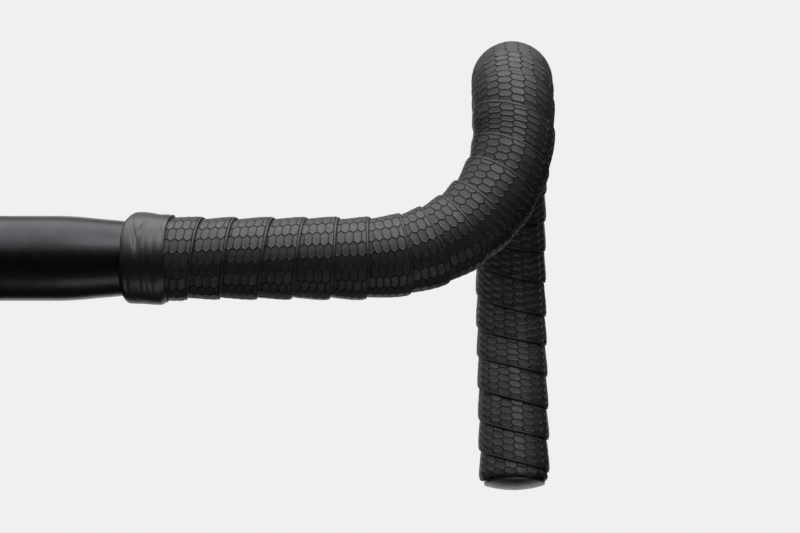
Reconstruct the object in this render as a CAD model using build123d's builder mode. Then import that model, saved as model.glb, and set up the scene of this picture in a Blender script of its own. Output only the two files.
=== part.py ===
from build123d import *

import os
from math import cos, radians, sin

# Road drop handlebar, taped and plugged, for a 31.8 mm stem.
# Millimetres. The origin is the centre of the stem clamp zone, +X points to the rider's right,
# +Y forward and +Z up. The right half is drawn and the left half mirrors it in the plane X = 0.

# ---------------------------------------------------------------- driving dimensions

# tube
clamp_diameter = 31.8  # thick middle that the stem grips
clamp_width = 86.0  # length of the thick middle before the tapers
taper_length = 44.0
grip_diameter = 23.8  # the rest of the tube, where levers clamp
wall = 2.0
taper_blend = 80.0  # radius that softens each end of a taper
end_chamfer = 0.4

# centreline of the right half
hook_spacing = 420.0  # between the centres of the two ramps
entry_radius = 130.0  # slow start of the corner between tops and ramp
entry_turn = 7.0
corner_radius = 53.0
ramp_slope = 3.0  # degrees that the ramp falls towards the front
ramp_length = 2.0
flare = 2.35  # degrees that the hook leans outwards going down
crown_radius = 29.0  # front of the hook, tightest at the top
crown_heading = 80.0  # degrees below level forward, where one arc hands over to the next
belly_radius = 72.5
belly_heading = 130.0
palm_radius = 106.5
drop_fall = 2.0  # degrees that the drop falls towards the rear
drop_length = 46.5

# bar tape, its backing strip and the finishing tape
layer_gap = 0.1  # between one wound layer and the next
strip_thickness = 0.7
strip_margin = 5.0  # straight grip tube between the taper and the strip
strip_end_margin = 6.0  # bare tube between the strip and the bar end
tape_thickness = 2.5  # of the wound tape over the strip
tape_start = 62.0  # distance of the tape's inner edge from the middle of the bar
first_wrap_thickness = 1.9  # where the tape climbs the taper
finishing_width = 20.0
finishing_thickness = 0.6
finishing_lap = 1.0  # of finishing tape stuck down on the bare tube
finishing_round = 0.5

# tape turned in at the bar end
fold_thickness = 1.8  # of tape over the rim of the tube
fold_round = 2.4
lip_thickness = 0.8  # of tape squeezed inside the tube
lip_depth = 9.0

# push-in end plug
plug_radius = 13.0
plug_rim = 1.0
plug_dome = 2.0
plug_gap = 0.4  # between the tape's turned-in end and the plug
shank_gap = 0.3  # between the turned-in tape and the fins of the shank
fin_depth = 0.6
fin_width = 1.6
fin_pitch = 4.0
fin_count = 4
shank_wall = 1.5
shank_length = 24.0

# ---------------------------------------------------------------- derived places

clamp_radius = clamp_diameter / 2
grip_radius = grip_diameter / 2
bore_radius = grip_radius - wall
taper_start = clamp_width / 2
taper_end = taper_start + taper_length
strip_start = taper_end + strip_margin
strip_radius = grip_radius + layer_gap + strip_thickness
tape_radius = strip_radius + layer_gap + tape_thickness
lip_radius = bore_radius - layer_gap - lip_thickness
fin_radius = lip_radius - shank_gap
bend_start = (
    hook_spacing / 2
    - entry_radius * sin(radians(entry_turn))
    - corner_radius * (1 - sin(radians(entry_turn)))
)

# ---------------------------------------------------------------- centreline

slope = radians(ramp_slope)
tops_plane = Plane(origin=(0, 0, 0), x_dir=(1, 0, 0), z_dir=(0, sin(slope), cos(slope)))

with BuildLine(tops_plane) as tops_line:
    tops = Line((strip_start, 0), (bend_start, 0))
    entry = JernArc(tops @ 1, tops % 1, entry_radius, entry_turn)
    corner = JernArc(entry @ 1, entry % 1, corner_radius, 90 - entry_turn)
    ramp = Line(corner @ 1, corner @ 1 + (corner % 1) * ramp_length)

# The hook lies in a plane through the ramp that leans outwards by the flare.
outward = Vector(1, 0, 0)
forward = ramp % 1
downward = forward.cross(outward)
lean = downward * cos(radians(flare)) + outward * sin(radians(flare))
hook_plane = Plane(origin=ramp @ 1, x_dir=forward, z_dir=forward.cross(lean))

with BuildLine(hook_plane) as hook_line:
    crown = JernArc(ramp @ 1, ramp % 1, crown_radius, crown_heading - ramp_slope)
    belly = JernArc(crown @ 1, crown % 1, belly_radius, belly_heading - crown_heading)
    palm = JernArc(belly @ 1, belly % 1, palm_radius, 180 - drop_fall - belly_heading)
    drop = Line(palm @ 1, palm @ 1 + (palm % 1) * drop_length)
    strip_end = drop @ 1 - (drop % 1) * strip_end_margin

strip_drop = Line(palm @ 1, strip_end)
bends = [tops, entry, corner, ramp, crown, belly, palm]
grip_path = Wire(bends + [drop])
strip_path = Wire(bends + [strip_drop])
tops_section = Plane(origin=tops @ 0, x_dir=(0, 1, 0), z_dir=tops % 0)

# Profiles at the bar end are drawn in this plane, where local X is the distance from the end axis
# and local Y points out of the bar.
end_plane = Plane(
    origin=drop @ 1,
    x_dir=hook_plane.z_dir * -1,
    z_dir=(drop % 1).cross(hook_plane.z_dir),
)
end_axis = Axis(drop @ 1, drop % 1)


def tube_radius(x):
    """Outside radius of the tube at a distance x from the middle of the bar."""
    share = min(max((x - taper_start) / taper_length, 0), 1)
    return clamp_radius + (grip_radius - clamp_radius) * share


def swept_ring(outer_radius, inner_radius, path):
    """Adds a hollow round layer along the path, from the end of the straight tops outwards."""
    with BuildSketch(tops_section) as ring:
        Circle(outer_radius)
        Circle(inner_radius, mode=Mode.SUBTRACT)
    sweep(sections=ring.sketch, path=path)


def other_side(piece):
    """The left piece that mirrors a right one."""
    with BuildPart() as twin:
        mirror(piece.part, about=Plane.YZ)
    return twin


def write(piece, name):
    piece.part.label = name
    export_step(piece.part, f"parts/{name}.step")


# ---------------------------------------------------------------- tube

with BuildPart() as tube_side:
    swept_ring(grip_radius, bore_radius, grip_path)
    rims = tube_side.edges().sort_by_distance(drop @ 1)[:2]
    chamfer(rims, end_chamfer)

with BuildPart() as bar_tube:
    with BuildSketch(Plane.XZ):
        with BuildLine():
            sides = []
            for depth in (0, wall):
                stops = [
                    (strip_start, grip_radius - depth),
                    (taper_end, grip_radius - depth),
                    (taper_start, clamp_radius - depth),
                ]
                mirrored = [(-x, r) for x, r in reversed(stops)]
                sides.append(FilletPolyline(*stops, *mirrored, radius=taper_blend))
            Line(sides[0] @ 0, sides[1] @ 0)
            Line(sides[0] @ 1, sides[1] @ 1)
        make_face()
    revolve(axis=Axis.X)
    add(tube_side.part)
    mirror(tube_side.part, about=Plane.YZ)

# ---------------------------------------------------------------- bar tape

finishing_start = tape_start - finishing_lap
finishing_end = finishing_start + finishing_width
first_wrap_radius = tube_radius(tape_start) + layer_gap + first_wrap_thickness
finishing_radius = first_wrap_radius + layer_gap + finishing_thickness

with BuildPart() as right_bar_tape:
    # The first wraps climb the taper and are thickest under the finishing tape.
    with BuildSketch(Plane.XZ):
        with BuildLine():
            outside = Polyline(
                (tape_start, first_wrap_radius),
                (finishing_end, first_wrap_radius),
                (taper_end, tape_radius),
                (strip_start, tape_radius),
            )
            inside = FilletPolyline(
                (tape_start, tube_radius(tape_start) + layer_gap),
                (taper_end, grip_radius + layer_gap),
                (strip_start, grip_radius + layer_gap),
                radius=taper_blend,
            )
            Line(outside @ 0, inside @ 0)
            Line(outside @ 1, inside @ 1)
        make_face()
    revolve(axis=Axis.X)
    swept_ring(tape_radius, strip_radius + layer_gap, strip_path)
    # At the bar end the tape folds over the rim and into the bore.
    with BuildSketch(end_plane) as fold:
        with BuildLine():
            Polyline(
                (lip_radius, -lip_depth),
                (lip_radius + lip_thickness, -lip_depth),
                (lip_radius + lip_thickness, layer_gap),
                (grip_radius + layer_gap, layer_gap),
                (grip_radius + layer_gap, -strip_end_margin),
                (tape_radius, -strip_end_margin),
                (tape_radius, fold_thickness),
                (lip_radius, fold_thickness),
                close=True,
            )
        make_face()
        corners = fold.vertices().sort_by(Axis.Y)[-2:].sort_by(Axis.X)
        fillet(corners[-1], fold_round)
        fillet(corners[0], lip_thickness)
    revolve(axis=end_axis)

with BuildPart() as right_backing_strip:
    swept_ring(strip_radius, grip_radius + layer_gap, strip_path)

with BuildPart() as right_finishing_tape:
    shoulder = tape_start - layer_gap
    with BuildSketch(Plane.XZ) as band:
        with BuildLine():
            Polyline(
                (finishing_start, tube_radius(finishing_start) + layer_gap),
                (finishing_start, finishing_radius),
                (finishing_end, finishing_radius),
                (finishing_end, finishing_radius - finishing_thickness),
                (shoulder, finishing_radius - finishing_thickness),
                (shoulder, tube_radius(shoulder) + layer_gap),
                close=True,
            )
        make_face()
        corners = band.vertices().sort_by(Axis.Y)[-2:].sort_by(Axis.X)
        fillet(corners[0], finishing_round)
    revolve(axis=Axis.X)

# ---------------------------------------------------------------- end plug

plug_back = fold_thickness + plug_gap
shank_radius = fin_radius - fin_depth
shank_tip = plug_back - shank_length

with BuildPart() as right_end_plug:
    with BuildSketch(end_plane):
        with BuildLine():
            crown_point = (0, plug_back + plug_rim + plug_dome)
            dome = TangentArc(crown_point, (plug_radius, plug_back + plug_rim), tangent=(1, 0))
            Polyline(
                (plug_radius, plug_back + plug_rim),
                (plug_radius, plug_back),
                (shank_radius, plug_back),
                (shank_radius, shank_tip),
                (shank_radius - shank_wall, shank_tip),
                (shank_radius - shank_wall, plug_back),
                (0, plug_back),
                crown_point,
            )
        make_face()
        for number in range(fin_count):
            fin_top = shank_tip + fin_width + number * fin_pitch
            with BuildLine():
                Polyline(
                    (shank_radius - shank_wall / 2, fin_top),
                    (fin_radius, fin_top),
                    (shank_radius, fin_top - fin_width),
                    (shank_radius - shank_wall / 2, fin_top - fin_width),
                    close=True,
                )
            make_face()
    revolve(axis=end_axis)

# ---------------------------------------------------------------- files

os.makedirs("parts", exist_ok=True)
write(bar_tube, "bar_tube")
right_side = {
    "bar_tape": right_bar_tape,
    "backing_strip": right_backing_strip,
    "finishing_tape": right_finishing_tape,
    "end_plug": right_end_plug,
}
for piece_name, piece in right_side.items():
    write(piece, f"right_{piece_name}")
    write(other_side(piece), f"left_{piece_name}")

print("bar end", drop @ 1, "pull direction", drop % 1)
print("reach", max(edge.bounding_box().max.Y for edge in grip_path.edges()), "drop", (drop @ 1).Z)
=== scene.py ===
# %% [markdown]
# # A taped drop handlebar
#
# The bar is one bent aluminium tube. Each side is wound with a strip of embossed foam tape, which
# is held near the stem by a band of finishing tape and at the bar end by a push-in plug. The tube,
# the plugs and the hidden backing strips come from the CAD model as they are. The wound tape and
# the finishing tape are soft, so this script makes them in full detail and they stand for the
# plain CAD solids.
#
# The first cell loads the CAD model. Everything is in metres: the origin is the middle of the stem
# clamp, +X is the rider's right, +Y is forward and +Z is up.

import math

import bpy
import numpy as np
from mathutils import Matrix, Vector


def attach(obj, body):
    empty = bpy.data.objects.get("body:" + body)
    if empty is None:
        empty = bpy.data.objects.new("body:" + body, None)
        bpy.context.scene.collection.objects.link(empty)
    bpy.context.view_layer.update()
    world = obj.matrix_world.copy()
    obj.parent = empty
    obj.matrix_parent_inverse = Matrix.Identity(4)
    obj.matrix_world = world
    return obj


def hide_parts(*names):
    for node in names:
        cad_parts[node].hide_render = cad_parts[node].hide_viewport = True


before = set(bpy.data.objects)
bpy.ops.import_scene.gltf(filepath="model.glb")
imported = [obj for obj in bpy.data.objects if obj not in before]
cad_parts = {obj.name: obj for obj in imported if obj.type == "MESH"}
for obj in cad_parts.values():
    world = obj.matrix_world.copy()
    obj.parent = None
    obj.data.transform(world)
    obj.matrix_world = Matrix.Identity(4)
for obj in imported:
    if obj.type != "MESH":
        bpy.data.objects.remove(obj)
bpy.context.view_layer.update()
scene = bpy.context.scene
MM = 0.001

# %% [markdown]
# Two helpers are used all the way through. Colours are picked as sRGB hex values, as in any paint
# program, but Blender calculates in linear light, so one function converts them. The other adds a
# node to a tree, sets its properties, and fills or links its inputs.


# %% Helpers
def linear(hex_colour):
    """An sRGB hex colour, such as "#1A1A1C", as linear RGBA."""
    parts = [int(hex_colour[i : i + 2], 16) / 255 for i in (1, 3, 5)]
    return [c / 12.92 if c <= 0.04045 else ((c + 0.055) / 1.055) ** 2.4 for c in parts] + [1.0]


def add_node(tree, kind, inputs=None, **settings):
    """Adds a node to the tree and returns its outputs. An input is a value or another's output."""
    node = tree.nodes.new(kind)
    for name, value in settings.items():
        setattr(node, name, value)
    for key, value in (inputs or {}).items():
        if isinstance(value, bpy.types.NodeSocket):
            tree.links.new(value, node.inputs[key])
        else:
            node.inputs[key].default_value = value
    return node.outputs


def set_curve(outputs, points):
    """Draws the curve of a Float Curve node through the points, all between 0 and 1."""
    mapping = outputs[0].node.mapping
    curve = mapping.curves[0]
    for x, y in points[1:-1]:
        curve.points.new(x, y)
    curve.points[0].location = points[0]
    curve.points[-1].location = points[-1]
    mapping.update()


def show(obj):
    scene.collection.objects.link(obj)
    return obj


# %% [markdown]
# ## Camera
#
# The bar is seen from above and a little behind, with the rider's right half in view. A long lens
# keeps the drop, which is further away than the tops, almost as large as the tops.

# %% Camera
camera = show(bpy.data.objects.new("camera", bpy.data.cameras.new("camera")))
camera.location = (0.1663, -0.2156, 0.6660)
camera.rotation_euler = (math.radians(17.69), 0, 0)
camera.data.lens = 84.3
camera.data.sensor_width = 36.0
camera.data.clip_start = 0.01
camera.data.clip_end = 20.0
scene.camera = camera

# %% [markdown]
# ## Floor and light
#
# The piece floats over a plain pale floor, far enough above it to leave no shadow. The floor
# glows a little, as a light table does, so it stays evenly pale and lights the edges of the bar.
# Most light comes from a wide white wall ahead, which fades out overhead, to the sides and towards
# the floor, because a black satin surface only shows what it reflects. A softbox high ahead, to the
# right, lights the hook, and a second one behind lights the rear edges.

# %% Floor, softboxes and surroundings
FLOOR_HEIGHT = -0.42
PALE = linear("#F0F0F0")

floor_material = bpy.data.materials.new("glowing light table acrylic")
floor_material.use_nodes = True
floor_tree = floor_material.node_tree
floor_tree.nodes.clear()
glow = add_node(floor_tree, "ShaderNodeEmission", {"Color": PALE, "Strength": 0.965})
matt = add_node(floor_tree, "ShaderNodeBsdfDiffuse", {"Color": linear("#303030")})
both = add_node(floor_tree, "ShaderNodeAddShader", {0: glow[0], 1: matt[0]})
add_node(floor_tree, "ShaderNodeOutputMaterial", {"Surface": both[0]})

floor_mesh = bpy.data.meshes.new("floor")
corners = [(x, y, FLOOR_HEIGHT) for x, y in ((-0.1, -0.2), (0.4, -0.2), (0.4, 0.5), (-0.1, 0.5))]
floor_mesh.from_pydata(corners, [], [(0, 1, 2, 3)])
floor_mesh.materials.append(floor_material)
floor = show(bpy.data.objects.new("floor", floor_mesh))


def softbox(name, place, target, size, watts):
    """A rectangular area light at place that faces target."""
    lamp = bpy.data.lights.new(name, "AREA")
    lamp.shape = "RECTANGLE"
    lamp.size, lamp.size_y = size
    lamp.energy = watts
    box = show(bpy.data.objects.new(name, lamp))
    box.location = place
    aim = Vector(target) - Vector(place)
    box.rotation_euler = aim.to_track_quat("-Z", "Y").to_euler()
    return box


softbox("side softbox", (0.30, 0.44, 0.68), (0.20, 0.05, -0.02), (0.45, 0.45), 2.6)
softbox("rear softbox", (0.40, -1.05, 0.02), (0.16, 0.0, -0.05), (1.1, 0.4), 1.7)

# The studio: a wide white wall ahead that fades out overhead and to the sides, a dim wall behind.
FRONT_GLOW, REAR_GLOW = 4.4, 0.16
SIDE_FADE, RIGHT_FADE = 0.65, 0.4  # of the wall ahead: to both sides, and more to the right
FLOOR_FADE, FLOOR_LEAST = 2.2, 0.12  # of the wall ahead below the horizon
REAR_FOCUS = 6.0
world = bpy.data.worlds.new("pale studio")
world.use_nodes = True
world_tree = world.node_tree
world_tree.nodes.clear()


def world_math(operation, *values):
    return add_node(world_tree, "ShaderNodeMath", dict(enumerate(values)), operation=operation)[0]


way = add_node(world_tree, "ShaderNodeTexCoord")["Generated"]
sideways, ahead, upwards = add_node(world_tree, "ShaderNodeSeparateXYZ", {0: way})
to_the_sides = world_math("MULTIPLY", sideways, sideways)
to_the_sides = world_math("MULTIPLY_ADD", to_the_sides, -SIDE_FADE, 1.0)
to_the_right = world_math("MULTIPLY", world_math("MAXIMUM", sideways, 0.0), RIGHT_FADE)
to_the_sides = world_math("MAXIMUM", world_math("SUBTRACT", to_the_sides, to_the_right), 0.0)
downwards = world_math("MAXIMUM", world_math("MULTIPLY", upwards, -1.0), 0.0)
to_the_floor = world_math("MULTIPLY_ADD", downwards, -FLOOR_FADE, 1.0)
to_the_floor = world_math("MAXIMUM", to_the_floor, FLOOR_LEAST)
front = world_math("MULTIPLY", world_math("MAXIMUM", ahead, 0.0), to_the_sides)
front = world_math("MULTIPLY", front, to_the_floor)
behind = world_math("MAXIMUM", world_math("MULTIPLY", ahead, -1.0), 0.0)
rear = world_math("MULTIPLY", world_math("POWER", behind, REAR_FOCUS), REAR_GLOW)
wall = world_math("MULTIPLY_ADD", front, FRONT_GLOW, rear)
ray = add_node(world_tree, "ShaderNodeLightPath")
backdrop = add_node(world_tree, "ShaderNodeBackground", {"Color": PALE, "Strength": 1.0})
walls = add_node(world_tree, "ShaderNodeBackground", {"Color": linear("#FFFFFF"), "Strength": wall})
parts = {0: ray["Is Camera Ray"], 1: walls[0], 2: backdrop[0]}
seen = add_node(world_tree, "ShaderNodeMixShader", parts)
add_node(world_tree, "ShaderNodeOutputWorld", {"Surface": seen[0]})
scene.world = world
scene.view_settings.view_transform = "Standard"

# %% [markdown]
# ## Materials
#
# Each material starts from the real one. Small height differences go into a Bump node, which bends
# the light without moving the surface. Noise is read from Object coordinates, in metres, so a
# scale of 1 / 0.004 gives blotches about 4 mm wide.


# %% A material with bump and uneven gloss
def new_material(name, colour, roughness, **shader):
    """A Principled material. Returns the material, its tree, its shader's node and coordinates."""
    material = bpy.data.materials.new(name)
    material.use_nodes = True
    tree = material.node_tree
    tree.nodes.clear()
    inputs = {"Base Color": linear(colour), "Roughness": roughness, **shader}
    surface = add_node(tree, "ShaderNodeBsdfPrincipled", inputs)
    add_node(tree, "ShaderNodeOutputMaterial", {"Surface": surface[0]})
    place = add_node(tree, "ShaderNodeTexCoord")["Object"]
    return material, tree, surface[0].node, place


def vary(tree, socket, place, size, low, high):
    """Links noise of that size, in metres, to a socket, from low to high."""
    pattern = {"Vector": place, "Scale": 1 / size, "Detail": 3.0}
    noise = add_node(tree, "ShaderNodeTexNoise", pattern)
    spread = add_node(
        tree,
        "ShaderNodeMapRange",
        {"Value": noise["Fac"], "From Min": 0.3, "From Max": 0.7, "To Min": low, "To Max": high},
    )
    if socket is not None:
        tree.links.new(spread["Result"], socket)
    return spread["Result"]


def blotch(tree, shader, place, size, first, second):
    """Colour that wanders between two hex colours in blotches of that size."""
    share = vary(tree, None, place, size, 0.0, 1.0)
    colours = {0: share, 6: linear(first), 7: linear(second)}
    mixed = add_node(tree, "ShaderNodeMix", colours, data_type="RGBA")
    tree.links.new(mixed[2], shader.inputs["Base Color"])


def fine_noise(tree, place, size, detail=2.0):
    """Noise of that size, in metres, as a height map for bump."""
    pattern = {"Vector": place, "Scale": 1 / size, "Detail": detail}
    return add_node(tree, "ShaderNodeTexNoise", pattern)["Fac"]


def bump(tree, shader, height, depth):
    """Bends the light of the shader by a height map that is depth metres deep."""
    bent = add_node(tree, "ShaderNodeBump", {"Height": height, "Distance": depth})
    tree.links.new(bent[0], shader.inputs["Normal"])


# %% [markdown]
# Black anodised aluminium: the tube is blasted with fine beads, then anodised and dyed. The oxide
# skin gives an even satin gloss with hardly any grain, and a dark grey that turns light only at
# grazing angles. A faint drawing grain runs along the tube.

# %% Anodised aluminium
anodised, tree, shader, place = new_material("anodised aluminium", "#303033", 0.27, Metallic=0.9)
blotch(tree, shader, place, 0.006, "#2E2E30", "#333336")
vary(tree, shader.inputs["Roughness"], place, 0.003, 0.25, 0.30)
grain_place = add_node(tree, "ShaderNodeMapping", {"Vector": place, "Scale": (0.12, 1.0, 1.0)})[0]
grain = fine_noise(tree, grain_place, 0.0006)
bump(tree, shader, grain, 0.000006)

# %% [markdown]
# Foamed polyurethane: the bar tape is an open foam with a thin embossed skin. The skin is satin,
# with pores too fine to see, so its grain is drawn about 0.4 mm wide, as coarse as shows.

# %% Foamed polyurethane
foam, tree, shader, place = new_material("foamed polyurethane", "#161618", 0.45)
blotch(tree, shader, place, 0.005, "#131315", "#19191B")
vary(tree, shader.inputs["Roughness"], place, 0.002, 0.42, 0.54)
pores = fine_noise(tree, place, 0.0004)
bump(tree, shader, pores, 0.00003)

# %% [markdown]
# Stretch vinyl: the finishing tape is a thin soft PVC band, pulled tight, so its skin is smooth
# and satin, with soft wrinkles that are modelled.

# %% Stretch vinyl
vinyl, tree, shader, place = new_material("stretch vinyl", "#121214", 0.34)
blotch(tree, shader, place, 0.004, "#101012", "#151517")
vary(tree, shader.inputs["Roughness"], place, 0.003, 0.33, 0.40)
skin = fine_noise(tree, place, 0.0012, detail=3.0)
bump(tree, shader, skin, 0.00002)

# %% [markdown]
# Moulded nylon: the end plugs come from a spark-eroded mould, which leaves a fine even texture.

# %% Moulded nylon
nylon, tree, shader, place = new_material("moulded nylon", "#101012", 0.30)
blotch(tree, shader, place, 0.003, "#0E0E10", "#131315")
vary(tree, shader.inputs["Roughness"], place, 0.0015, 0.28, 0.36)
spark = fine_noise(tree, place, 0.0003)
bump(tree, shader, spark, 0.00002)

# %% [markdown]
# Silicone gel: the backing strip under the tape, tacky and slightly glossy. It is out of sight.

# %% Silicone gel
gel, tree, shader, place = new_material("silicone gel", "#3C3C3E", 0.30)
blotch(tree, shader, place, 0.004, "#38383A", "#424245")
vary(tree, shader.inputs["Roughness"], place, 0.002, 0.26, 0.36)
dimples = add_node(tree, "ShaderNodeTexVoronoi", {"Vector": place, "Scale": 1 / 0.0025})
bump(tree, shader, dimples["Distance"], 0.0001)

# %% [markdown]
# ## The path that the tape is wound on
#
# The winding follows the centreline of the right half: straight tops, a slow corner into a larger
# one, a short ramp, then the hook in three arcs and the straight drop. The arcs are the CAD
# model's. Each point also carries what the winding needs to know there: how far out the surface
# is, how the bar bends, and near the bar end how the tape rolls over the rim and into the bore.

# %% Sizes of the bar, in millimetres
HOOK_SPACING = 420.0
ENTRY_RADIUS, ENTRY_TURN = 130.0, 7.0
CORNER_RADIUS = 53.0
RAMP_SLOPE, RAMP_LENGTH = 3.0, 2.0
FLARE = 2.35
HOOK_ARCS = ((29.0, 77.0), (72.5, 50.0), (106.5, 48.0))  # radius and turn in degrees
DROP_LENGTH = 46.5
GRIP_RADIUS = 11.9
CLAMP_RADIUS, TAPER_START, TAPER_LENGTH = 15.9, 43.0, 44.0
FACE = 1.8  # of tape over the end of the tube
RIM_ROUND = 1.8  # radius of the rolled tape at the bar end
LIP_ROUND, LIP_RADIUS, LIP_DEPTH = 0.8, 9.05, 8.0  # where the tape turns into the bore
STEP = 0.75  # between points of the path


def bar_centreline(start):
    """Places, headings and bend vectors along the right half, from X = start to the bar end."""
    slope, flare = math.radians(RAMP_SLOPE), math.radians(FLARE)
    entry = math.radians(ENTRY_TURN)
    straight = HOOK_SPACING / 2 - ENTRY_RADIUS * math.sin(entry)
    straight -= CORNER_RADIUS * (1 - math.sin(entry))
    place = np.array([start, 0.0, 0.0])
    heading = np.array([1.0, 0.0, 0.0])
    side = np.array([0.0, math.cos(slope), -math.sin(slope)])
    places, headings, bends = [], [], []

    def run(length):
        nonlocal place
        for along in np.arange(0, length, STEP):
            places.append(place + heading * along)
            headings.append(heading)
            bends.append(heading * 0)
        place = place + heading * length

    def arc(radius, degrees):
        nonlocal place, heading, side
        angle = math.radians(degrees)
        for a in np.arange(0, angle, STEP / radius):
            places.append(place + radius * (math.sin(a) * heading + (1 - math.cos(a)) * side))
            headings.append(math.cos(a) * heading + math.sin(a) * side)
            bends.append((math.cos(a) * side - math.sin(a) * heading) / radius)
        place = place + radius * (math.sin(angle) * heading + (1 - math.cos(angle)) * side)
        heading, side = (
            math.cos(angle) * heading + math.sin(angle) * side,
            math.cos(angle) * side - math.sin(angle) * heading,
        )

    run(straight - start)
    arc(ENTRY_RADIUS, ENTRY_TURN)
    arc(CORNER_RADIUS, 90 - ENTRY_TURN)
    run(RAMP_LENGTH)
    outward = np.array([1.0, 0.0, 0.0])
    side = np.cross(heading, outward) * math.cos(flare) + outward * math.sin(flare)
    for radius, degrees in HOOK_ARCS:
        arc(radius, degrees)
    run(DROP_LENGTH)
    return np.array(places), np.array(headings), np.array(bends), place, heading


PATH_START = 56.0
places, headings, bends, tube_end, end_heading = bar_centreline(PATH_START)
steps = np.linalg.norm(np.diff(places, axis=0), axis=1)
along = PATH_START + np.concatenate([[0], np.cumsum(steps)])
TUBE_END = along[-1] + np.linalg.norm(tube_end - places[-1])
print("tube end", np.round(tube_end, 2), "at", round(TUBE_END, 1), "mm along the bar")

# %% [markdown]
# A strip that crosses from a straight to a bend eases into it, so the bend vectors are averaged
# over a short length. Past the bar end the path simply runs straight on, and the extra values say
# where the rolled surface really is: its seat on the axis, its distance from the axis, and its tilt
# from facing outwards (0) over facing the end (90 degrees) to facing into the bore (180 degrees).

# %% Values along the path
BEND_EASE = 14.0
window = int(BEND_EASE / STEP)
padded = np.pad(bends, ((window, window), (0, 0)), mode="edge")
kernel = np.ones(window) / window
bends = np.stack([np.convolve(padded[:, i], kernel, "same") for i in range(3)], 1)[window:-window]

# Distance of the tape's surface from the axis, before the lift of each wrap.
SURFACE = ((56, 15.5), (79, 15.5), (84, 15.3), (89, 14.95), (94, 14.85), (200, 14.9), (225, 15.2),
           (300, 15.3), (345, 15.2), (385, 14.7), (460, 14.6), (480, 14.45))
# How far a wrap leans out of square where the bar bends: towards the bar end at the rear.
LEAN = ((56, 0), (130, 0.2), (146, 1.7), (175, 1.9), (200, 1.9), (217, 0.2), (230, -1.0),
        (243, -1.3), (262, 0), (330, 1.0), (380, 1.75), (500, 1.75))

# How far a wrap leans back towards the hook at both sides of the drop. Below it, twice as far.
SAG = ((56, 0), (385, 0), (425, 3.4), (468, 3.6), (481, 2.3), (496, 0.7), (520, 0.5))

end_surface = np.interp(TUBE_END, *zip(*SURFACE))
roll_start = TUBE_END + FACE - RIM_ROUND
keep = along < roll_start
rows = [
    (s, p, p, np.interp(s, *zip(*SURFACE)), 0.0, 1.0, b)
    for s, p, b in zip(along[keep], places[keep], bends[keep])
]
no_bend = np.zeros(3)


def add_row(s, seat_depth, surface, tilt, squeeze):
    """A point past the start of the roll. seat_depth is measured from the end of the tube."""
    point = tube_end + end_heading * (s - TUBE_END)
    seat = tube_end + end_heading * seat_depth
    rows.append((s, point, seat, surface, tilt, squeeze, no_bend))


s = roll_start
for tilt in np.radians(np.arange(0, 91, 7.5)):
    squeeze = 1.0 - 0.45 * tilt / (math.pi / 2)
    depth = FACE - RIM_ROUND + RIM_ROUND * math.sin(tilt)
    surface = end_surface - RIM_ROUND * (1 - math.cos(tilt))
    add_row(s + RIM_ROUND * tilt, depth, surface, tilt, squeeze)
s += RIM_ROUND * math.pi / 2
face_width = end_surface - RIM_ROUND - LIP_RADIUS - LIP_ROUND
s += face_width
for tilt in np.radians(np.arange(90, 181, 15)):
    turned = tilt - math.pi / 2
    squeeze = 0.55 - 0.27 * turned / (math.pi / 2)
    depth = FACE - LIP_ROUND * (1 - math.cos(turned))
    surface = LIP_RADIUS + LIP_ROUND * (1 - math.sin(turned))
    add_row(s + LIP_ROUND * turned, depth, surface, tilt, squeeze)
s += LIP_ROUND * math.pi / 2
for inside in (1.0, LIP_DEPTH, LIP_DEPTH + 4.0):
    add_row(s + inside, FACE - LIP_ROUND - inside, LIP_RADIUS, math.pi, 0.28)

path_mesh = bpy.data.meshes.new("right winding path")
path_mesh.from_pydata(
    [tuple(row[1] * MM) for row in rows], [(i, i + 1) for i in range(len(rows) - 1)], []
)
values = {
    "seat": ("FLOAT_VECTOR", [tuple(row[2] * MM) for row in rows]),
    "shape": ("FLOAT_VECTOR", [(row[3] * MM, row[4], row[5]) for row in rows]),
    "bend": ("FLOAT_VECTOR", [tuple(row[6] / MM) for row in rows]),
    "lean": ("FLOAT", [np.interp(row[0], *zip(*LEAN)) * MM for row in rows]),
    "sag": ("FLOAT", [np.interp(row[0], *zip(*SAG)) * MM for row in rows]),
}
for name, (kind, data) in values.items():
    attribute = path_mesh.attributes.new(name, kind, "POINT")
    field = "value" if kind == "FLOAT" else "vector"
    attribute.data.foreach_set(field, np.array(data, np.float32).ravel())
PATH_LENGTH = rows[-1][0] - PATH_START
print("path points", len(rows), "length", round(PATH_LENGTH, 1), "mm")

# %% [markdown]
# ## One scale
#
# The tape is embossed with long hexagons, in rows that fit into each other like honeycomb. One
# scale is a thin raised plate with a sloping edge and a shallow dish. The grooves are deepest at
# the tips and shallow between neighbours. It is cut across the middle, so that it can bend round
# the bar. It has only a few faces, because there are thousands of it.

# %% The scale's plate, in millimetres
SCALE_PITCH = 3.0  # between columns, across the tape
ROW_PITCH = 4.75  # between rows, along the tape
TIP = 1.2  # height of a pointed end
GROOVE = 0.24  # width of the groove round each scale
SCALE_HEIGHT = 0.30
SUNK = 0.12  # of the plate below the strip's surface


def hexagon(inset, height, height_at_sides):
    """Eight corners of a long hexagon whose edges are moved in by inset."""
    half_width = SCALE_PITCH / 2 - inset
    slant = math.hypot(TIP, SCALE_PITCH / 2) / (SCALE_PITCH / 2)
    tip_end = (ROW_PITCH + TIP) / 2 - inset * slant
    shoulder = tip_end - TIP * half_width / (SCALE_PITCH / 2)
    flat = [
        (-half_width, 0), (-half_width, -shoulder), (0, -tip_end), (half_width, -shoulder),
        (half_width, 0), (half_width, shoulder), (0, tip_end), (-half_width, shoulder),
    ]
    return [(x * MM, y * MM, (height_at_sides if x else height) * MM) for x, y in flat]


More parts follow.
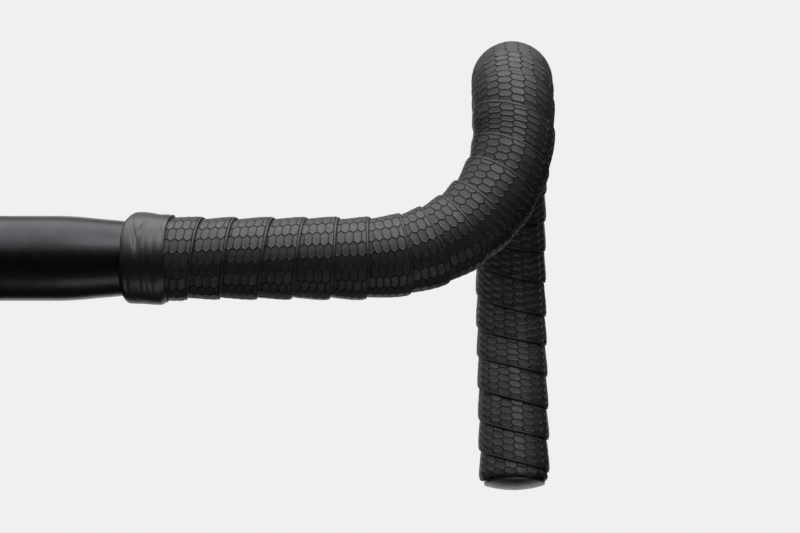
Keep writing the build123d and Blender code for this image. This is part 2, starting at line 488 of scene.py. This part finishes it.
rings = [
    hexagon(GROOVE * 0.15, -SUNK, 0.18),
    hexagon(GROOVE * 0.9, SCALE_HEIGHT, SCALE_HEIGHT),
    hexagon(GROOVE * 2.4, SCALE_HEIGHT - 0.09, SCALE_HEIGHT - 0.09),
]
plate_corners = [corner for ring in rings for corner in ring]
plate_faces = []
for ring in (0, 8):
    for i in range(8):
        j = (i + 1) % 8
        plate_faces.append((ring + i, ring + j, ring + 8 + j, ring + 8 + i))
for top in ((0, 1, 2, 3, 4), (4, 5, 6, 7, 0)):
    plate_faces.append(tuple(16 + i for i in top))
    plate_faces.append(tuple(reversed(top)))
plate_mesh = bpy.data.meshes.new("scale plate")
plate_mesh.from_pydata(plate_corners, [], plate_faces)
for face in plate_mesh.polygons:  # only the bend across the top is smooth, the rim is crisp
    face.use_smooth = face.normal.z > 0.9 and len(face.vertices) == 5
plate = bpy.data.objects.new("scale plate", plate_mesh)
print("one scale has", sum(len(f) - 2 for f in plate_faces), "triangles")

# %% [markdown]
# ## The strip's cross-section
#
# The strip is thin at both edges. Its exposed edge is bevelled, with a smooth rim and a fine line.
# The cross-section is drawn once and pulled along the strip. X is the distance from the exposed
# edge. A curve's profile is drawn upside down when the curve runs along +Y, so heights change
# sign here.

# %% The strip's profile
STRIP_WIDTH = 24.0
section = [
    (0.0, -0.16), (0.18, 0.06), (0.42, 0.17), (0.88, 0.17), (1.0, 0.02), (1.3, -0.02), (5.0, 0.0),
    (8.0, 0.0), (11.0, 0.0), (13.5, 0.0), (16.0, 0.0), (19.0, 0.0), (23.0, 0.0), (24.0, -0.25),
    (24.0, -0.45), (22.5, -0.80), (17.0, -0.85), (11.0, -0.85), (5.0, -0.85), (2.0, -0.80),
    (0.35, -0.50), (0.12, -0.36),
]
profile_mesh = bpy.data.meshes.new("strip profile")
profile_mesh.from_pydata(
    [(x * MM, -z * MM, 0) for x, z in section],
    [(i, (i + 1) % len(section)) for i in range(len(section))],
    [],
)
profile = bpy.data.objects.new("strip profile", profile_mesh)

# %% [markdown]
# ## Winding the tape
#
# A real tape is wound by hand from the bar end inwards, each wrap covering part of the one before,
# so no two wraps advance equally. The numbers are where the exposed edge of each wrap lies on top
# of the tops, or straight below on the drop before its sag, in millimetres along the bar.
#
# The flat strip lies along +Y with its scales on top, and one group of Geometry Nodes wraps any
# point of it on the bar: the distance along the strip becomes the turn, the distance across it
# becomes the place along the bar, and the height stays a height.

# %% Where each wrap lies
WRAP_EDGES = (
    495.0, 482.3, 469.5, 456.3, 442.0, 428.0, 414.4, 398.2, 383.1, 369.1, 356.0, 342.8,
    329.5, 316.5, 304.0, 292.0, 281.0, 271.5, 262.3, 253.4, 243.0, 229.1, 217.2, 203.2,
    192.7, 180.6, 169.4, 155.0, 142.8, 129.4, 116.9, 102.8, 90.7, 77.5, 64.5,
)
TURNS = len(WRAP_EDGES) - 1
START_ANGLE = 270.0
MEAN_RADIUS = 15.0
TURN_LENGTH = 2 * math.pi * MEAN_RADIUS
INNER_LIMIT = 67.6  # the strip is cut off slanting here, under the finishing tape
edge_curve = [
    (i / TURNS, (edge - PATH_START) / PATH_LENGTH) for i, edge in enumerate(WRAP_EDGES)
]
# Lift of the surface across a wrap: x is the share of the visible width.
LIFT_RANGE = 3.0
LIFT_LOW, LIFT_HIGH = -1.2, 0.6
lift_points = (
    (0.0, 0.36), (0.12, 0.42), (0.30, 0.36), (0.60, 0.02), (0.88, -0.32), (0.96, -0.46),
    (1.04, -0.66), (1.25, -0.86), (1.8, -0.95), (3.0, -1.05),
)
LUMP_SIZE = 0.022  # of the foam's unevenness, in metres
LEAST_VISIBLE = 6.0  # width of a wrap, however tight
LEAST_STRETCH = 0.45  # on the inside of a bend
lift_curve = [(x / LIFT_RANGE, (y - LIFT_LOW) / (LIFT_HIGH - LIFT_LOW)) for x, y in lift_points]
print(TURNS, "turns,", round(TURNS * TURN_LENGTH / 1000, 2), "m of tape on each side")


# %% The group that wraps points on the bar
WINDING_INPUTS = (
    "Turn Length", "Turns", "Path Length", "Start Angle", "Mean Radius", "Unevenness",
)


def winding_group():
    """Named inputs: the path and a point of the flat strip. Outputs: where it goes, and facts."""
    tree = bpy.data.node_groups.new("wind on the bar", "GeometryNodeTree")
    face = tree.interface
    face.new_socket("Path", in_out="INPUT", socket_type="NodeSocketGeometry")
    face.new_socket("Flat Position", in_out="INPUT", socket_type="NodeSocketVector")
    for name in WINDING_INPUTS:
        face.new_socket(name, in_out="INPUT", socket_type="NodeSocketFloat")
    face.new_socket("Position", in_out="OUTPUT", socket_type="NodeSocketVector")
    for name in ("Along", "Covered", "Edge Along", "Stretch"):
        face.new_socket(name, in_out="OUTPUT", socket_type="NodeSocketFloat")

    def calc(operation, *values):
        return add_node(tree, "ShaderNodeMath", dict(enumerate(values)), operation=operation)[0]

    def calc_vector(operation, *values):
        inputs = dict(enumerate(values))
        node = add_node(tree, "ShaderNodeVectorMath", inputs, operation=operation)
        return node["Value"] if operation in ("DOT_PRODUCT", "LENGTH") else node[0]

    def scaled(vector, amount):
        inputs = {0: vector, "Scale": amount}
        return add_node(tree, "ShaderNodeVectorMath", inputs, operation="SCALE")[0]

    def named(name, kind):
        return add_node(tree, "GeometryNodeInputNamedAttribute", {"Name": name}, data_type=kind)[0]

    def sample(value, kind, length):
        return add_node(
            tree,
            "GeometryNodeSampleCurve",
            {"Curves": given["Path"], "Value": value, "Length": length},
            data_type=kind,
            mode="LENGTH",
            use_all_curves=True,
        )

    def edge_at(turn):
        share = calc("DIVIDE", turn, given["Turns"])
        drawn = add_node(tree, "ShaderNodeFloatCurve", {"Value": share})
        set_curve(drawn, edge_curve)
        return calc("MULTIPLY", drawn[0], given["Path Length"])

    def spoke(normal, tangent):
        """The direction from the axis to the surface, at the winding angle."""
        across = calc_vector("CROSS_PRODUCT", tangent, normal)
        return calc_vector("ADD", scaled(normal, cosine), scaled(across, sine))

    given = add_node(tree, "NodeGroupInput")
    flat = add_node(tree, "ShaderNodeSeparateXYZ", {0: given["Flat Position"]})
    turn = calc("DIVIDE", flat[1], given["Turn Length"])
    angle = calc("MULTIPLY_ADD", turn, math.tau, given["Start Angle"])
    cosine, sine = calc("COSINE", angle), calc("SINE", angle)
    edge = edge_at(turn)
    visible = calc("SUBTRACT", edge, edge_at(calc("ADD", turn, 1.0)))
    visible = calc("MAXIMUM", visible, LEAST_VISIBLE * MM)

    # On the outside of a bend the strip covers less of the centreline, on the inside more.
    at_edge = sample(named("bend", "FLOAT_VECTOR"), "FLOAT_VECTOR", edge)
    toward = calc_vector("DOT_PRODUCT", spoke(at_edge["Normal"], at_edge["Tangent"]), at_edge[0])
    stretch = calc("SUBTRACT", 1.0, calc("MULTIPLY", toward, given["Mean Radius"]))
    stretch = calc("MAXIMUM", stretch, LEAST_STRETCH)
    from_edge = calc("DIVIDE", flat[0], stretch)
    lean = sample(named("lean", "FLOAT"), "FLOAT", edge)[0]
    sag = sample(named("sag", "FLOAT"), "FLOAT", edge)[0]
    leaning = calc("MULTIPLY_ADD", lean, cosine, edge)
    leaning = calc("MULTIPLY_ADD", sag, calc("SUBTRACT", sine, 1.0), leaning)
    length = calc("SUBTRACT", leaning, from_edge)

    seat = sample(named("seat", "FLOAT_VECTOR"), "FLOAT_VECTOR", length)
    shape = sample(named("shape", "FLOAT_VECTOR"), "FLOAT_VECTOR", length)
    surface, tilt, squeeze = add_node(tree, "ShaderNodeSeparateXYZ", {0: shape[0]})
    outward = spoke(seat["Normal"], seat["Tangent"])
    facing = calc_vector(
        "ADD",
        scaled(outward, calc("COSINE", tilt)),
        scaled(seat["Tangent"], calc("SINE", tilt)),
    )

    covered = calc("DIVIDE", from_edge, visible)
    share = calc("DIVIDE", covered, LIFT_RANGE)
    drawn = add_node(tree, "ShaderNodeFloatCurve", {"Value": share})
    set_curve(drawn, lift_curve)
    lift = calc("MULTIPLY_ADD", drawn[0], (LIFT_HIGH - LIFT_LOW) * MM, LIFT_LOW * MM)
    lumps = {"Vector": given["Flat Position"], "Scale": 1 / LUMP_SIZE, "Detail": 1.0}
    rough = add_node(tree, "ShaderNodeTexNoise", lumps)
    unevenness = calc("MULTIPLY", calc("SUBTRACT", rough[0], 0.5), given["Unevenness"])
    height = calc("ADD", calc("ADD", lift, unevenness), flat[2])
    on_axis = calc_vector("ADD", seat[0], scaled(outward, surface))
    position = calc_vector("ADD", on_axis, scaled(facing, calc("MULTIPLY", height, squeeze)))
    results = {0: position, 1: length, 2: covered, 3: edge, 4: stretch}
    add_node(tree, "NodeGroupOutput", results)
    return tree


winding = winding_group()
print("winding group has", len(winding.nodes), "nodes")

# %% [markdown]
# The tape's own tree makes the flat strip, scatters the scales on it in honeycomb order, throws
# away the scales that the next wrap hides, and sends everything through the winding group. The
# inner end of the strip is cut to a long point, as on a real bar, so that it ends square. A UV map
# keeps the flat position, in metres.


# %% The tree that makes a wound tape
MARGIN = 2.65  # from the exposed edge to the middle of the first scale, in millimetres
SCALES_START = 77.0  # along the bar, under the finishing tape
SCALES_PAST_ROLL = 3.0  # that still show where the tape rolls over the bar end
HIDDEN_FROM = 1.09  # share of the visible width, past which the next wrap covers a scale
UNEVENNESS = 0.5  # of the foam
SECTIONS_A_TURN = 36
COLUMNS = 8  # of scales across the strip


def tape_tree():
    tree = bpy.data.node_groups.new("wound bar tape", "GeometryNodeTree")
    face = tree.interface
    face.new_socket("Geometry", in_out="INPUT", socket_type="NodeSocketGeometry")
    sockets = (
        ("Profile", "Object"), ("Scale Plate", "Object"), ("Material", "Material"),
        ("Strip Width", "Float"), ("Turn Length", "Float"), ("Turns", "Float"),
        ("Path Length", "Float"), ("Start Angle", "Float"), ("Mean Radius", "Float"),
        ("Unevenness", "Float"), ("Inner Limit", "Float"), ("Scale Pitch", "Float"),
        ("Row Pitch", "Float"), ("Margin", "Float"), ("Scales Start", "Float"),
        ("Scales End", "Float"), ("Sections a Turn", "Int"), ("Columns", "Int"),
    )
    for name, kind in sockets:
        face.new_socket(name, in_out="INPUT", socket_type=f"NodeSocket{kind}")
    face.new_socket("Geometry", in_out="OUTPUT", socket_type="NodeSocketGeometry")

    def calc(operation, *values):
        return add_node(tree, "ShaderNodeMath", dict(enumerate(values)), operation=operation)[0]

    def wind(position):
        links = {key: given[key] for key in WINDING_INPUTS}
        node = tree.nodes.new("GeometryNodeGroup")
        node.node_tree = winding
        for key, value in {"Path": path, "Flat Position": position, **links}.items():
            tree.links.new(value, node.inputs[key])
        return node.outputs

    def position_parts():
        """X, Y and Z of each point of the geometry that the result is used on."""
        place = add_node(tree, "GeometryNodeInputPosition")[0]
        return add_node(tree, "ShaderNodeSeparateXYZ", {0: place})

    given = add_node(tree, "NodeGroupInput")
    path = add_node(tree, "GeometryNodeMeshToCurve", {"Mesh": given["Geometry"]})[0]
    strip_length = calc("MULTIPLY", given["Turn Length"], given["Turns"])

    # The flat strip.
    sections = calc("MULTIPLY", given["Sections a Turn"], given["Turns"])
    far_end = add_node(tree, "ShaderNodeCombineXYZ", {1: strip_length})[0]
    line = add_node(
        tree, "GeometryNodeMeshLine", {"Count": sections, "Offset": far_end}, mode="END_POINTS"
    )
    spine = add_node(tree, "GeometryNodeMeshToCurve", {"Mesh": line[0]})[0]
    outline = add_node(tree, "GeometryNodeObjectInfo", {"Object": given["Profile"]})["Geometry"]
    outline = add_node(tree, "GeometryNodeMeshToCurve", {"Mesh": outline})[0]
    pulled = {"Curve": spine, "Profile Curve": outline, "Fill Caps": True}
    strip = add_node(tree, "GeometryNodeCurveToMesh", pulled)[0]
    strip = add_node(tree, "GeometryNodeSetShadeSmooth", {0: strip, "Shade Smooth": True})[0]

    # The flat field of scales. Every second row is half a scale further out.
    rows_count = calc("DIVIDE", strip_length, given["Row Pitch"])
    width = calc("MULTIPLY", given["Scale Pitch"], calc("SUBTRACT", given["Columns"], 1.0))
    grid = add_node(
        tree,
        "GeometryNodeMeshGrid",
        {
            "Size X": width,
            "Size Y": strip_length,
            "Vertices X": given["Columns"],
            "Vertices Y": rows_count,
        },
    )[0]
    spot = position_parts()
    row_place = calc("MULTIPLY_ADD", strip_length, 0.5, spot[1])
    row = calc("ROUND", calc("DIVIDE", row_place, given["Row Pitch"]))
    odd = calc("MODULO", row, 2.0)
    shift = calc("MULTIPLY", calc("MULTIPLY", odd, 0.5), given["Scale Pitch"])
    column_place = calc("ADD", calc("MULTIPLY_ADD", width, 0.5, spot[0]), given["Margin"])
    moved = add_node(
        tree,
        "ShaderNodeCombineXYZ",
        {0: calc("SUBTRACT", column_place, shift), 1: calc("MULTIPLY", row, given["Row Pitch"])},
    )[0]
    spots = add_node(tree, "GeometryNodeSetPosition", {"Geometry": grid, "Position": moved})[0]
    facts = wind(add_node(tree, "GeometryNodeInputPosition")[0])
    hidden = calc("GREATER_THAN", facts["Covered"], HIDDEN_FROM)
    before = calc("LESS_THAN", facts["Along"], given["Scales Start"])
    after = calc("GREATER_THAN", facts["Along"], given["Scales End"])
    unseen = calc("MAXIMUM", hidden, calc("MAXIMUM", before, after))
    spots = add_node(
        tree, "GeometryNodeDeleteGeometry", {"Geometry": spots, "Selection": unseen}, domain="POINT"
    )[0]
    one_scale = add_node(tree, "GeometryNodeObjectInfo", {"Object": given["Scale Plate"]})
    placed = {"Points": spots, "Instance": one_scale["Geometry"]}
    scales = add_node(tree, "GeometryNodeInstanceOnPoints", placed)[0]
    scales = add_node(tree, "GeometryNodeRealizeInstances", {"Geometry": scales})[0]
    parts = position_parts()
    rim = calc("MULTIPLY_ADD", given["Scale Pitch"], -0.5, given["Margin"])
    trimmed = calc("MAXIMUM", parts[0], rim)
    trimmed = add_node(tree, "ShaderNodeCombineXYZ", {0: trimmed, 1: parts[1], 2: parts[2]})[0]
    scales = add_node(tree, "GeometryNodeSetPosition", {"Geometry": scales, "Position": trimmed})[0]

    # The point of the strip at its inner end: its width shrinks with the bar that is left.
    place = add_node(tree, "GeometryNodeInputPosition")[0]
    facts = wind(place)
    left = calc("SUBTRACT", facts["Edge Along"], given["Inner Limit"])
    left = calc("MULTIPLY", left, facts["Stretch"])
    share = calc("DIVIDE", left, given["Strip Width"])
    share = calc("MINIMUM", calc("MAXIMUM", share, 0.02), 1.0)
    parts = add_node(tree, "ShaderNodeSeparateXYZ", {0: place})
    across = calc("MULTIPLY", parts[0], share)
    narrow = add_node(tree, "ShaderNodeCombineXYZ", {0: across, 1: parts[1], 2: parts[2]})[0]
    strip = add_node(tree, "GeometryNodeSetPosition", {"Geometry": strip, "Position": narrow})[0]

    tape = tree.nodes.new("GeometryNodeJoinGeometry")
    tree.links.new(scales, tape.inputs[0])
    tree.links.new(strip, tape.inputs[0])
    parts = position_parts()
    flat_place = add_node(tree, "ShaderNodeCombineXYZ", {0: parts[1], 1: parts[0]})[0]
    mapped = add_node(
        tree,
        "GeometryNodeStoreNamedAttribute",
        {"Geometry": tape.outputs[0], "Name": "flat tape", "Value": flat_place},
        data_type="FLOAT2",
        domain="CORNER",
    )[0]
    facts = wind(add_node(tree, "GeometryNodeInputPosition")[0])
    wound = add_node(
        tree, "GeometryNodeSetPosition", {"Geometry": mapped, "Position": facts["Position"]}
    )[0]
    real = add_node(tree, "GeometryNodeRealizeInstances", {"Geometry": wound})[0]
    finished = {"Geometry": real, "Material": given["Material"]}
    made = add_node(tree, "GeometryNodeSetMaterial", finished)
    add_node(tree, "NodeGroupOutput", {0: made[0]})
    return tree


# %% [markdown]
# The modifier's inputs are set by their identifiers, then the evaluated result becomes a plain
# mesh and the helper objects go away.


# %% Winding the right side
def set_inputs(modifier, values):
    """Sets a Geometry Nodes modifier's inputs by name, through their identifiers."""
    for item in modifier.node_group.interface.items_tree:
        if item.item_type == "SOCKET" and item.in_out == "INPUT" and item.name in values:
            modifier[item.identifier] = values[item.name]


def plain_mesh(obj, name):
    """The evaluated object as a plain mesh of that name."""
    bpy.context.view_layer.update()
    graph = bpy.context.evaluated_depsgraph_get()
    mesh = bpy.data.meshes.new_from_object(obj.evaluated_get(graph), depsgraph=graph)
    mesh.name = name
    return mesh


def mirrored_mesh(mesh, name):
    """The same mesh on the rider's left, turned right side out again."""
    twin = mesh.copy()
    twin.name = name
    places = np.zeros(len(twin.vertices) * 3, np.float32)
    twin.vertices.foreach_get("co", places)
    places[0::3] *= -1
    twin.vertices.foreach_set("co", places)
    twin.flip_normals()
    twin.update()
    return twin


for helper in (plate, profile):
    show(helper)
    helper.hide_render = True
winder = show(bpy.data.objects.new("winder", path_mesh))
modifier = winder.modifiers.new("wound bar tape", "NODES")
modifier.node_group = tape_tree()
set_inputs(
    modifier,
    {
        "Profile": profile,
        "Scale Plate": plate,
        "Material": foam,
        "Strip Width": STRIP_WIDTH * MM,
        "Turn Length": TURN_LENGTH * MM,
        "Turns": float(TURNS),
        "Path Length": PATH_LENGTH * MM,
        "Start Angle": math.radians(START_ANGLE),
        "Mean Radius": MEAN_RADIUS * MM,
        "Unevenness": UNEVENNESS * MM,
        "Inner Limit": (INNER_LIMIT - PATH_START) * MM,
        "Scale Pitch": SCALE_PITCH * MM,
        "Row Pitch": ROW_PITCH * MM,
        "Margin": MARGIN * MM,
        "Scales Start": (SCALES_START - PATH_START) * MM,
        "Scales End": (roll_start + SCALES_PAST_ROLL - PATH_START) * MM,
        "Sections a Turn": SECTIONS_A_TURN,
        "Columns": COLUMNS,
    },
)
tape_mesh = plain_mesh(winder, "right wound tape")
winder.modifiers.clear()
for helper in (winder, plate, profile):
    bpy.data.objects.remove(helper)
right_tape = show(bpy.data.objects.new("right_wound_tape", tape_mesh))
left_mesh = mirrored_mesh(tape_mesh, "left wound tape")
left_tape = show(bpy.data.objects.new("left_wound_tape", left_mesh))
triangles = sum(len(p.vertices) - 2 for p in tape_mesh.polygons)
print("each wound tape has", triangles, "triangles")

# %% [markdown]
# ## Finishing tape
#
# A few turns of thin vinyl are stretched over the tape's inner end. The band is smooth, its inner
# edge rolls down on to the bare tube, its outer edge slants as the wraps do, and it shows the
# lumps of the tape below it as soft dents and creases. It is one closed shell, made point by
# point: rings of points run round the bar, from the inner edge over the outside and back below.

# %% The finishing tape's shell
RING_POINTS = 200
OUTSIDE_POINTS = 46
VINYL = 0.35  # thickness at the free edge
BAND_DEPTH = 0.4  # of the shell's underside below its outside


def tube_radius(x):
    share = min(max((x - TAPER_START) / TAPER_LENGTH, 0), 1)
    return CLAMP_RADIUS + (GRIP_RADIUS - CLAMP_RADIUS) * share


def hill(x, centre, width):
    return math.exp(-(((x - centre) / width) ** 2))


def turned(angle, centre, width):
    """A hill round the bar, in degrees. 180 is the front, 270 the top and 0 the rear."""
    away = (angle - centre + 180) % 360 - 180
    return math.exp(-((away / width) ** 2))


def band_edges(angle):
    inner = 62.8 + 3.1 * turned(angle, 195, 42) + 0.8 * turned(angle, 280, 35)
    inner += 1.2 * turned(angle, 10, 30)
    outer = 79.7 + 2.2 * turned(angle, 185, 52) - 0.2 * math.sin(math.radians(2 * angle))
    return inner, outer


# Outside profile: distance from the inner edge and radius, and how much of the detail it takes.
BAND = ((0.0, 14.55), (0.1, 15.2), (0.4, 16.05), (0.9, 16.5), (1.9, 16.72), (4.5, 16.8),
        (9.0, 16.72), (13.0, 16.45), (16.0, 16.3), (19.0, 16.15))


def band_radius(angle, x, inner, outer):
    radius = np.interp(x - inner, *zip(*BAND))
    ease = min(max((x - inner - 0.3) / 1.5, 0), 1) * min(max((outer - x) / 1.5, 0), 1)
    lumps = 0.62 * turned(angle, 180, 30) * hill(x, 69.6, 4.2)
    lumps -= 0.35 * turned(angle, 185, 35) * hill(x, 77.0, 2.2)
    lumps += 0.9 * turned(angle, 0, 40) * hill(x, 77.5, 5.0)
    # The forked dent where two layers of tape end below the vinyl.
    down = (angle - 228) / 36
    if -0.6 < down < 1.8:
        fade = turned(angle, 248, 22)
        for start, end in ((67.0, 69.3), (73.4, 69.8)):
            lumps -= 0.50 * fade * hill(x, start + (end - start) * min(max(down, 0), 1), 0.85)
    lumps -= 0.15 * turned(angle, 268, 12) * hill(x, 69.5, 1.8)
    # Fine creases across the band.
    for centre, at, width, depth in (
        (276, 70.1, 0.9, 0.12), (276, 72.9, 0.6, 0.14), (276, 75.8, 0.7, 0.14),
        (322, 66.0, 0.8, 0.13), (318, 70.9, 0.5, 0.12), (326, 73.1, 0.5, 0.12),
        (320, 75.0, 0.6, 0.14), (345, 68.5, 0.6, 0.12), (60, 68.0, 0.6, 0.12),
        (75, 73.5, 0.5, 0.12), (110, 70.0, 0.6, 0.14), (140, 75.0, 0.5, 0.10),
    ):
        lumps -= depth * turned(angle, centre, 15) * hill(x, at + 0.01 * (angle - centre), width)
    # The edge of the tape's last wrap and the layers of vinyl show as low steps.
    lumps += 0.15 * math.tanh((78.0 + 2.2 * turned(angle, 185, 52) - x) / 0.22)
    return radius + ease * lumps


def finishing_band():
    rings = []
    for i in range(RING_POINTS):
        angle = 360 * i / RING_POINTS
        inner, outer = band_edges(angle)
        outside = []
        for k in range(OUTSIDE_POINTS):
            share = k / (OUTSIDE_POINTS - 1)
            x = inner + (outer - inner) * share ** 1.35
            outside.append((x, band_radius(angle, x, inner, outer)))
        edge_radius = outside[-1][1]
        below = [(outer, edge_radius - VINYL)]
        for share in (0.8, 0.6, 0.4, 0.2, 0.08):
            x = inner + (outer - inner) * share
            below.append((x, band_radius(angle, x, inner, outer) - BAND_DEPTH))
        below.append((inner, tube_radius(inner) + 0.1))
        rings.append([(x, r, angle) for x, r in outside + below])
    count = len(rings[0])
    points = []
    for ring in rings:
        for x, r, angle in ring:
            a = math.radians(angle)
            points.append((x * MM, -r * math.cos(a) * MM, -r * math.sin(a) * MM))
    faces = []
    for i in range(RING_POINTS):
        j = (i + 1) % RING_POINTS
        for k in range(count):
            m = (k + 1) % count
            faces.append((i * count + k, j * count + k, j * count + m, i * count + m))
    mesh = bpy.data.meshes.new("right finishing band")
    mesh.from_pydata(points, [], faces)
    mesh.materials.append(vinyl)
    mesh.polygons.foreach_set("use_smooth", [True] * len(mesh.polygons))
    mesh.update()
    return mesh


band_mesh = finishing_band()
right_band = show(bpy.data.objects.new("right_finishing_band", band_mesh))
left_mesh = mirrored_mesh(band_mesh, "left finishing band")
left_band = show(bpy.data.objects.new("left_finishing_band", left_mesh))
print("finishing band faces", len(band_mesh.polygons))

# %% [markdown]
# ## CAD pieces
#
# The tube, the backing strips and the end plugs keep their CAD shapes and get their materials. A
# round CAD face has a seam where its first and last rows of normals disagree by up to 13 degrees,
# which would show as a line on the glossy tube. So the normals that share a place and almost agree
# are averaged. No point moves.

# %% Materials and seams of the CAD pieces
SEAM_AGREEMENT = math.cos(math.radians(25))
SAME_PLACE = 0.001  # millimetres between corners that count as one place


def mend_seams(mesh):
    """Averages the shading normals that share a place and almost agree."""
    corners = len(mesh.loops)
    places = np.zeros(len(mesh.vertices) * 3, np.float32)
    mesh.vertices.foreach_get("co", places)
    vertex_of = np.zeros(corners, np.int32)
    mesh.loops.foreach_get("vertex_index", vertex_of)
    normals = np.zeros(corners * 3, np.float32)
    mesh.corner_normals.foreach_get("vector", normals)
    normals = normals.reshape(-1, 3)
    spots = np.round(places.reshape(-1, 3)[vertex_of] / (SAME_PLACE * MM)).astype(np.int64)
    order = np.lexsort(spots.T)
    starts = np.flatnonzero(np.any(np.diff(spots[order], axis=0) != 0, axis=1)) + 1
    for group in np.split(order, starts):
        around = normals[group]
        distinct = np.unique(np.round(around, 4), axis=0)
        if len(distinct) > 1:
            close = around @ distinct.T > SEAM_AGREEMENT
            summed = close @ distinct
            normals[group] = summed / np.linalg.norm(summed, axis=1, keepdims=True)
    mesh.normals_split_custom_set(normals)


finishes = {"bar_tube": anodised}
for side in ("right", "left"):
    finishes[f"{side}_end_plug"] = nylon
    finishes[f"{side}_backing_strip"] = gel
for name, material in finishes.items():
    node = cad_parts[name]
    mend_seams(node.data)
    if not node.material_slots:
        node.data.materials.append(material)
    for holder in node.material_slots:
        holder.material = material

# %% [markdown]
# ## Riding on the bar
#
# Every made piece rides on the bar's body, and the CAD node it stands for is hidden. The wound
# tapes are foam, squeezed tight.

# %% Bodies, and the CAD pieces that are hidden
for side, tape, band in (("right", right_tape, right_band), ("left", left_tape, left_band)):
    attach(tape, "bar")
    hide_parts(f"{side}_bar_tape")
    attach(band, "bar")
    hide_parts(f"{side}_finishing_tape")
